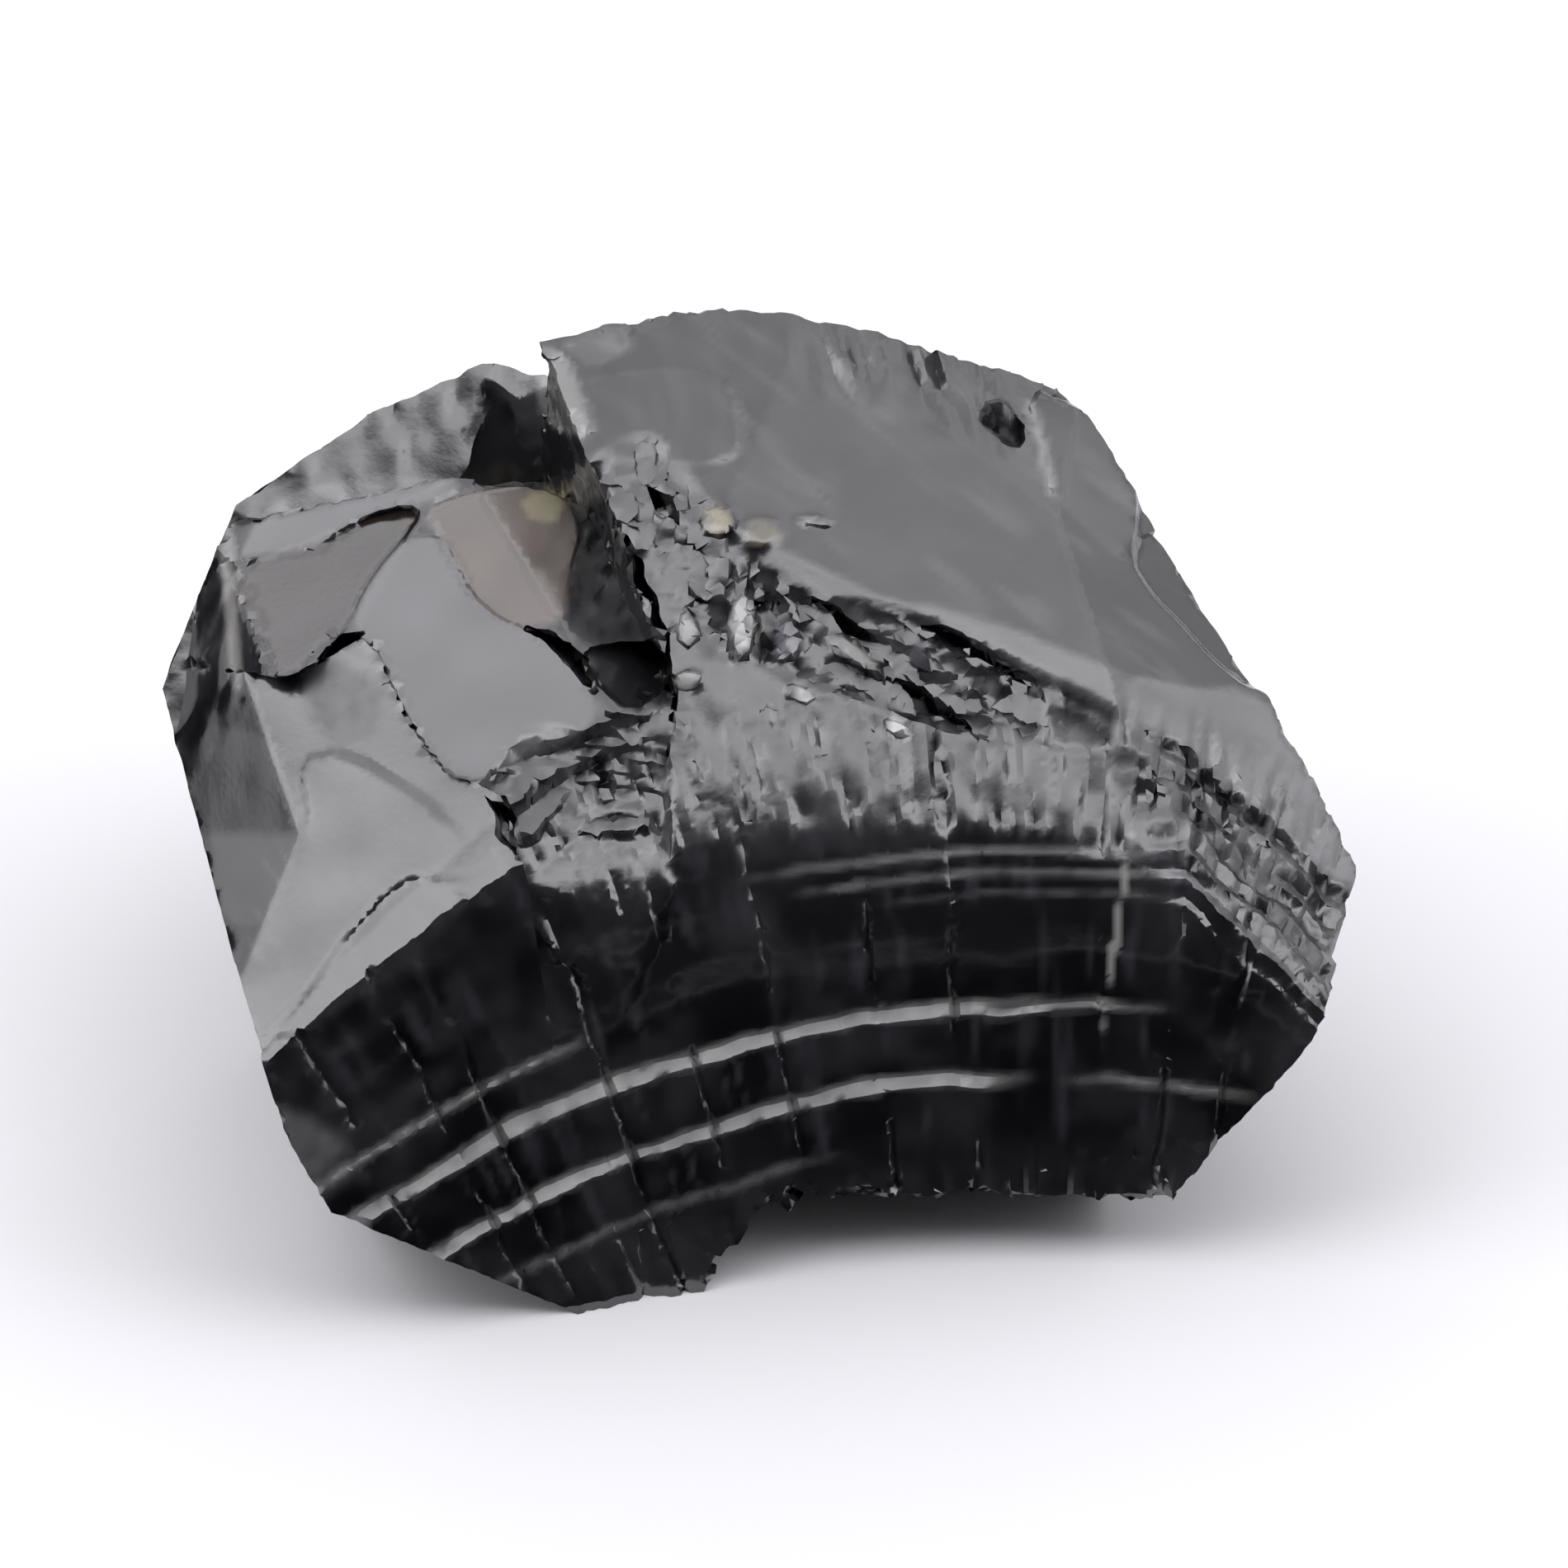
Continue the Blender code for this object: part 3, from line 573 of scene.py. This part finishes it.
def rough_mass(p):
    """The same lump with no fine surface, for finding where the surface lies."""
    radius, arc, height = scar_place(p)
    profile = RIM_HEIGHT + CONE_SLOPE * (radius - RIM_RADIUS)
    scar = (height - profile) / math.sqrt(1 + CONE_SLOPE ** 2)
    wall, _ = met(p, [BAND_WALL, BAND_TOP])
    crown, _ = met(p, [TOP, TOP_LEFT, TOP_EDGE, EDGE_CHIP, RIGHT_STRIP, BROW, BACK_LEFT,
                       np.minimum(face(p, CROWN_WALL), wall), scar])
    knob = [SHOULDER, LEFT_UPPER, LEFT_LOWER, KNOB_BACK]
    u, v = p[:, 0], (p - FRONT_LOW) @ VIEW_UP
    beyond = np.minimum(-within(u, v, FLAKE_EDGE), 0.3)
    tops = cheek_tops(p, u, v)
    flake, _ = met(p, FLAKE_TOPS + knob[1:] + [SEAM_UP, scar, beyond])
    cheek, _ = met(p, [tops] + knob + [SEAM_LOW, scar])
    core, _ = met(p, [tops + 0.9, met(p, FLAKE_TOPS)[0] + 1.6] + knob + [CORE_RIGHT, scar])
    cheek = np.minimum(cheek, core)
    ledge, _ = met(p, LEDGE)
    ledge = np.minimum(ledge, met(p, [NOTCH, np.abs(p[:, 0] + 5.9) - 1.3])[0])
    rock = np.minimum(np.minimum(crown, flake), np.minimum(cheek, ledge))
    block, _ = met(p, BLOCK)
    under = np.minimum(face(p, RIM_UNDER), face(p, FOOT_RIGHT))
    rock = np.maximum(np.maximum(rock, block), np.maximum(under, -p[:, 2]))
    for centre, size in HIDDEN_SCARS:
        rock = np.maximum(rock, size - np.linalg.norm(p - np.array(centre, np.float32), axis=1))
    return rock


# ---------------------------------------------------------------------------------------------
# The lump itself: one piece of glassy carbon, broken from the bed and never cut or polished. One
# closed skin is laid over all of those faces. Every small cell that the surface passes through
# gets one point, put where the faces in that cell meet, so that edges stay sharp.

MM = 0.001
CENTRE_OF_BASE = (-0.25, 11.42, 0.0)        # mm, what the model's origin is in this drawing
SHARP = 34                                  # degrees between faces, past which an edge is crisp
PITCH = 0.156       # mm between the cells
REACH = 0.6                                 # mm past the stone's box on every side


def spaced(low, high):
    """Places of the cells along one side of the box."""
    return np.arange(low - REACH, high + REACH, PITCH, dtype=np.float32)


def in_slabs(function, p, size=400000):
    """A field worked out a slab of points at a time, to save memory."""
    return np.concatenate([function(p[n:n + size]) for n in range(0, len(p), size)])


def slope_at(p):
    """Unit vector straight out of the surface."""
    step = 0.02
    sides = []
    for axis in range(3):
        shift = np.zeros(3, np.float32)
        shift[axis] = step
        sides.append(in_slabs(stone, p + shift) - in_slabs(stone, p - shift))
    slope = np.stack(sides, 1)
    return slope / (np.linalg.norm(slope, axis=1, keepdims=True) + 1e-9)


low, high = (np.array(c) / MM + np.array(CENTRE_OF_BASE) for c in cad_box)
axes = [spaced(low[n], high[n]) for n in range(3)]
counts = [len(a) for a in axes]
points = np.stack(np.meshgrid(*axes, indexing="ij"), -1).reshape(-1, 3)
values = in_slabs(rough_mass, points)
close = (values > -1.5) & (values < 0.5)
values[close] = in_slabs(stone, points[close])
del points
values = values.reshape(counts)

crossings, cell_sets, flips = [], [], []
for axis in range(3):
    first = [slice(None)] * 3
    last = [slice(None)] * 3
    first[axis], last[axis] = slice(0, -1), slice(1, None)
    before, after = values[tuple(first)], values[tuple(last)]
    place = np.nonzero((before < 0) != (after < 0))
    a, b = before[place], after[place]
    spot = np.stack([axes[n][place[n]] for n in range(3)], 1)
    share = a / (a - b)
    for _ in range(2):                      # closer to where the surface really crosses
        trial = spot.copy()
        trial[:, axis] += share * PITCH
        here = in_slabs(stone, trial)
        same = (here < 0) == (a < 0)
        line = np.where(same, here / (here - b + 1e-9) * (1 - share), 0)
        back = np.where(same, 0, here / (here - a + 1e-9) * share)
        share = np.clip(share + line - back, 0.0, 1.0)
    spot[:, axis] += share * PITCH
    crossings.append(spot)
    others = [n for n in range(3) if n != axis]
    cells = []
    for step in ((0, 0), (1, 0), (1, 1), (0, 1)):
        cell = [c.copy() for c in place]
        for n, s in zip(others, step):
            cell[n] = cell[n] - 1 + s
        cells.append((cell[0] * counts[1] + cell[1]) * counts[2] + cell[2])
    cell_sets.append(np.stack(cells, 1))
    flips.append((a < 0) == (axis == 1))

crossings = np.concatenate(crossings)
cell_sets = np.concatenate(cell_sets)
flips = np.concatenate(flips)
slopes = slope_at(crossings)
used, corner = np.unique(cell_sets, return_inverse=True)
corner = corner.reshape(-1, 4)
owner = corner.T.reshape(-1)
spots = np.tile(crossings, (4, 1))
leans = np.tile(slopes, (4, 1))
number = np.bincount(owner).astype(float)
middle = np.stack([np.bincount(owner, spots[:, n]) for n in range(3)], 1) / number[:, None]
lift = ((spots - middle[owner]) * leans).sum(1)
pull = np.stack([np.bincount(owner, leans[:, n] * lift) for n in range(3)], 1)
matrix = np.zeros((len(used), 3, 3))
for m in range(3):
    for n in range(3):
        matrix[:, m, n] = np.bincount(owner, leans[:, m] * leans[:, n]) + (0.06 if m == n else 0)
shift = np.linalg.solve(matrix, pull[:, :, None])[:, :, 0]
corners = middle + np.clip(shift, -PITCH * 0.7, PITCH * 0.7)
quads = np.where(flips[:, None], corner[:, ::-1], corner)
skin_points = (corners - np.array(CENTRE_OF_BASE)) * MM

skin = bpy.data.meshes.new("shungite_lump")
skin.from_pydata(skin_points.tolist(), [], quads.tolist())
skin.shade_smooth()
skin.set_sharp_from_angle(angle=math.radians(SHARP))
lump = bpy.data.objects.new("shungite_lump", skin)
bpy.context.scene.collection.objects.link(lump)
triangles = sum(len(f.vertices) - 2 for f in skin.polygons)
print("skin:", len(skin.vertices), "points,", triangles, "triangles")

# Elite shungite: natural glassy carbon, fresh from the blow. Nearly black with a half-metallic
# gloss, so that what the eye sees is mostly the light that each face sends back.
ROCK = "0e0e11"
DUST_AND_RIB_HIGHLIGHT = "565658"          # crushed rock dust in the seam, in the hackles and along broken edges, and a painted highlight on the rib shelves
ROCK_IOR = 2.1              # between glass and graphite
POLISH = (0.14, 0.24)       # roughness of a fresh face, uneven from place to place
DUST = 0.32                 # what crushed rock adds to it
CLOUDING = 2.381            # mm, patches of more and less polish
PITTING = 0.1923            # mm, tiny pits; drawn coarser than real, so that they show
PIT_DEPTH = 0.04            # mm


def linear(code):
    """sRGB hex colour as linear light."""
    parts = [int(code[n:n + 2], 16) / 255 for n in (0, 2, 4)]
    return [c / 12.92 if c <= 0.04045 else ((c + 0.055) / 1.055) ** 2.4 for c in parts] + [1.0]


def node(tree, kind, settings=(), **links):
    """Adds a node, sets its plain inputs and links the ones given as sockets. An input's name has
    _ for each space, and _0, _1 and _2 are inputs by number."""
    made = tree.nodes.new(kind)
    for name, value in dict(settings).items():
        setattr(made, name, value)
    for name, value in links.items():
        key = int(name[1:]) if name[0] == "_" else name.replace("_", " ")
        if isinstance(value, bpy.types.NodeSocket):
            tree.links.new(value, made.inputs[key])
        else:
            made.inputs[key].default_value = value
    return made


def film_and_painted_light(p, bare):
    """Colour of the thin film at each place, and how crushed the surface is there. Part of the
    colour
    is painted light: highlights on the rib shelves, on the left side's sliver and on the hackle
    crests, lighter grey on the left side's slate patch, and shade in the hackle furrows. The
    crushed share counts the rib shelves in too. It lies only on faces that have stood bare."""
    m = Marks(p)
    # shelf: where the shelves of the ribs take a painted highlight
    _, shelf = front_scar(m.radius, m.arc, m.height)
    speck = grain(p, 0.3, 31)
    colour = np.tile(np.array(linear(ROCK)[:3], np.float32), (len(p), 1))

    def cover(code, amount):
        share = np.clip(amount, 0, 1)[:, None].astype(np.float32)
        return colour * (1 - share) + np.array(linear(code)[:3], np.float32) * share

    stain = ramp(grain(p, 1.6, 33) + 0.5 * grain(p, 0.5, 34), -0.4, 1.0)
    colour = cover("343236", 0.6 * bare * stain)
    flow = grain(m.downhill, (2.0, 0.35, 1), 43) + 0.5 * grain(m.downhill, (0.9, 0.12, 1), 44)
    on_crown = ramp(m.u, -3, -1) * ramp(m.radius, 32.5, 33.5)
    colour = cover("545356", 0.55 * bare * ramp(flow, 0.1, 0.9) * on_crown)
    for outline, _, _, code in FACETS:
        if code:
            inside = bare * ramp(within(m.u, m.v, outline), -0.1, 0.1)
            colour = cover(code, inside * (0.85 + 0.15 * m.small))
    crest = m.band * (0.35 + 0.65 * m.rise)
    crest = crest * (1 - 0.5 * ramp(m.arc, 4, 10) - 0.35 * ramp(m.arc, 8, 14))
    crest = crest * (0.45 + 0.55 * ramp(m.arc, -23, -16))
    # crushed grey dust in the hackles, laid on the raised crests and left out of the furrows as
    # painted shade
    hackled = crest * (0.55 - 0.5 * m.ridges - 0.8 * m.furrows)
    crushed_and_rib_highlight = bare * np.clip(m.seam * (0.3 + 0.45 * speck) + hackled + sum(m.patches), 0, 1)
    rim = (1 - ramp(m.radius + 0.4 * speck, 23.9, 24.8)) * ramp(m.arc, -62, -55)
    # crumbs along the rim; on the rib shelves the crushed grey is a painted highlight
    crushed_and_rib_highlight = np.maximum(crushed_and_rib_highlight, bare * np.maximum(0.12 * rim, 0.8 * shelf))
    colour = cover(DUST_AND_RIB_HIGHLIGHT, crushed_and_rib_highlight * (0.65 + 0.5 * speck))
    # painted highlight: pale grey on the raised crests of the hackles
    colour = cover("a09e9c", bare * crest * 0.6 * ramp(-m.ridges, 0.45, 1.1))
    polar = np.stack([m.arc * 0.5, m.radius, m.radius * 0], 1).astype(np.float32)
    dusty = ramp(grain(polar, (0.2, 1.6, 1), 41), 0.25, 0.8) * (1 - m.band)
    colour = cover("38383e", 0.7 * bare * dusty * (1 - ramp(m.radius, 32, 33)))
    rings = np.stack([m.arc * 0.5, m.radius + 0.1 * m.small, m.radius * 0], 1)
    rings = ramp(grain(rings.astype(np.float32), (7, 0.13, 1), 42), 0.1, 0.8) * (1 - m.band)
    rings = rings * ramp(m.radius, 29.2, 30.0) * (1 - ramp(m.radius, 31.4, 32.2))
    colour = cover("606066", 0.7 * bare * rings * ramp(m.arc, -22, -10))
    # painted highlight: pale grey along the shelves of the ribs
    colour = cover("8e8c8a", bare * shelf * (0.55 + 0.4 * speck))
    for piece in PIECES:
        colour = cover(piece[4], bare * ramp(on_piece(m.u, m.v, piece) + 0.35 * speck, 0.0, 0.4))
    return colour, crushed_and_rib_highlight


# Film and dust lie on the faces that look to the front and up. The others are newer and clean.
FILM_SIDE = np.array([0.0, -0.788, 0.616])
bare = ramp(np.array([f.vector for f in skin.vertex_normals]) @ FILM_SIDE, 0.02, 0.25)
tint, crushed_and_rib_highlight = film_and_painted_light(corners.astype(np.float32), bare.astype(np.float32))
paint = skin.color_attributes.new("film_and_painted_light", "FLOAT_COLOR", "POINT")
painted = np.concatenate([tint, crushed_and_rib_highlight[:, None]], 1).astype(np.float32)
paint.data.foreach_set("color", painted.ravel())

rock = bpy.data.materials.new("elite shungite, fresh fracture")
rock.use_nodes = True
tree = rock.node_tree
shader = tree.nodes["Principled BSDF"]
shader.inputs["IOR"].default_value = ROCK_IOR
layer = node(tree, "ShaderNodeVertexColor", {"layer_name": "film_and_painted_light"})
tree.links.new(layer.outputs["Color"], shader.inputs["Base Color"])
place = node(tree, "ShaderNodeTexCoord").outputs["Object"]
cloud = node(tree, "ShaderNodeTexNoise", Vector=place, Scale=1 / (CLOUDING * MM), Detail=4,
             Roughness=0.6)
gloss = node(tree, "ShaderNodeMapRange", Value=cloud.outputs["Fac"], From_Min=0.3, From_Max=0.7,
             To_Min=POLISH[0], To_Max=POLISH[1])
dusty = node(tree, "ShaderNodeMath", {"operation": "MULTIPLY_ADD"}, _0=layer.outputs["Alpha"],
             _1=DUST, _2=gloss.outputs["Result"])
tree.links.new(dusty.outputs[0], shader.inputs["Roughness"])
fine = node(tree, "ShaderNodeTexNoise", Vector=place, Scale=1 / (PITTING * MM), Detail=3,
            Roughness=0.6)
bump = node(tree, "ShaderNodeBump", Height=fine.outputs["Fac"], Strength=0.1,
            Distance=PIT_DEPTH * MM)
tree.links.new(bump.outputs["Normal"], shader.inputs["Normal"])
skin.materials.append(rock)

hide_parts("stone")
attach(lump, "root")

# ---------------------------------------------------------------------------------------------
# The table: a wide sheet of smooth white card that the lump rests on. It is the stage, and no
# part of the lump.

HALF = 1.5                                  # m, half of the sheet's side
TABLE_CORNERS = [(-HALF, -HALF, 0), (HALF, -HALF, 0), (HALF, HALF, 0), (-HALF, HALF, 0)]

table_mesh = bpy.data.meshes.new("table")
table_mesh.from_pydata(TABLE_CORNERS, [], [(0, 1, 2, 3)])
table = bpy.data.objects.new("table", table_mesh)
bpy.context.scene.collection.objects.link(table)

# White card, uncoated: matt, so that it takes a soft shadow and sends up even light.
paper = bpy.data.materials.new("white card, matt")
paper.use_nodes = True
card = paper.node_tree.nodes["Principled BSDF"]
card.inputs["Base Color"].default_value = linear("f0f0f2")
card.inputs["Roughness"].default_value = 0.7
card.inputs["Specular IOR Level"].default_value = 0.2
table_mesh.materials.append(paper)

# ---------------------------------------------------------------------------------------------
# A flag of black cloth, laid flat in front of the lump and at its left. Only the lump's polish
# sees it: it keeps the steep front faces from mirroring the white table.

FLAG_HEIGHT = 0.0002                        # m
FLAG_CORNERS = [(-0.3, -0.45), (0.3, -0.45), (0.3, -0.009), (-0.012, -0.009), (-0.012, 0.12),
                (-0.3, 0.12)]

flag_mesh = bpy.data.meshes.new("flag")
flag_mesh.from_pydata([(x, y, FLAG_HEIGHT) for x, y in FLAG_CORNERS], [],
                      [(0, 1, 2, 3), (0, 3, 4, 5)])
flag = bpy.data.objects.new("flag", flag_mesh)
bpy.context.scene.collection.objects.link(flag)

# Black velvet, woven with an upright pile: it swallows light and has no shine.
velvet = bpy.data.materials.new("black velvet")
velvet.use_nodes = True
pile = velvet.node_tree.nodes["Principled BSDF"]
pile.inputs["Base Color"].default_value = linear("050505")
pile.inputs["Specular IOR Level"].default_value = 0.0
flag_mesh.materials.append(velvet)
flag.visible_camera = False
flag.visible_diffuse = False
flag.visible_shadow = False
flag.visible_transmission = False

# ---------------------------------------------------------------------------------------------
# Soft studio light: a white tent over and behind the lump, brightest overhead and to the left and
# open towards the camera, where the room is dark. The polished faces show it as their greys. One
# softbox at the left gives the sparkle.

tent = bpy.data.worlds.new("light tent")
bpy.context.scene.world = tent
tent.use_nodes = True
sky = tent.node_tree
SMOOTH = {"interpolation_type": "SMOOTHSTEP"}
TIMES = {"operation": "MULTIPLY"}
outward = node(sky, "ShaderNodeTexCoord").outputs["Generated"]
way = node(sky, "ShaderNodeSeparateXYZ", Vector=outward).outputs
opening = node(sky, "ShaderNodeMapRange", SMOOTH, Value=way["Y"], From_Min=-0.52, From_Max=-0.28,
               To_Min=0.03, To_Max=1.0)
height = node(sky, "ShaderNodeMapRange", SMOOTH, Value=way["Z"], From_Min=-0.05, From_Max=0.75,
              To_Min=0.62, To_Max=1.55)
side = node(sky, "ShaderNodeMapRange", SMOOTH, Value=way["X"], From_Min=-0.5, From_Max=0.15,
            To_Min=1.14, To_Max=0.85)
right = node(sky, "ShaderNodeMapRange", SMOOTH, Value=way["X"], From_Min=0.2, From_Max=0.42,
             To_Min=1.0, To_Max=1.2)

# a lit strip runs from left to right overhead, and the cloth of the tent hangs in soft folds
off_strip = node(sky, "ShaderNodeMath", {"operation": "ADD"}, _0=way["Y"], _1=0.2)
off_strip = node(sky, "ShaderNodeMath", {"operation": "ABSOLUTE"}, _0=off_strip.outputs[0])
overhead = node(sky, "ShaderNodeMapRange", SMOOTH, Value=off_strip.outputs[0], From_Min=0.12,
                From_Max=0.40, To_Min=1.6, To_Max=0.84)
folds = node(sky, "ShaderNodeTexNoise", Vector=outward, Scale=7, Detail=1)
folds = node(sky, "ShaderNodeMapRange", SMOOTH, Value=folds.outputs["Fac"], From_Min=0.3,
             From_Max=0.7, To_Min=0.78, To_Max=1.22)
strength = opening.outputs["Result"]
for part in (height, side, overhead, folds, right):
    product = node(sky, "ShaderNodeMath", TIMES, _0=strength, _1=part.outputs["Result"])
    strength = product.outputs[0]
back = sky.nodes["Background"]
back.inputs["Color"].default_value = linear("fbfbff")
sky.links.new(strength, back.inputs["Strength"])

box = bpy.data.lights.new("left softbox", "AREA")
box.size = 0.3          # m
box.energy = 0.18       # W
lamp = bpy.data.objects.new("left_softbox", box)
lamp.location = (-0.44, 0.06, 0.36)
lamp.rotation_euler = Vector(lamp.location).to_track_quat("Z", "Y").to_euler()
bpy.context.scene.collection.objects.link(lamp)

# ---------------------------------------------------------------------------------------------
# Camera: a long lens in front of the lump, looking down on it.

ELEVATION = 38                              # degrees above the table
DISTANCE = 0.38                             # m
AIM = Vector((0.00047, 0.00306, 0.00582))   # m, what the camera looks at
FRAME_WIDTH = 0.037                         # m, how much it takes in at the lump
SENSOR = 36                                 # mm
camera_data = bpy.data.cameras.new("camera")
camera_data.sensor_width = SENSOR
camera_data.lens = SENSOR * DISTANCE / FRAME_WIDTH
camera_data.clip_start = 0.01
camera = bpy.data.objects.new("camera", camera_data)
away = Vector((0, -math.cos(math.radians(ELEVATION)), math.sin(math.radians(ELEVATION))))
camera.location = AIM + away * DISTANCE
camera.rotation_euler = away.to_track_quat("Z", "Y").to_euler()
bpy.context.scene.collection.objects.link(camera)
bpy.context.scene.camera = camera
bpy.context.scene.view_settings.view_transform = "Standard"
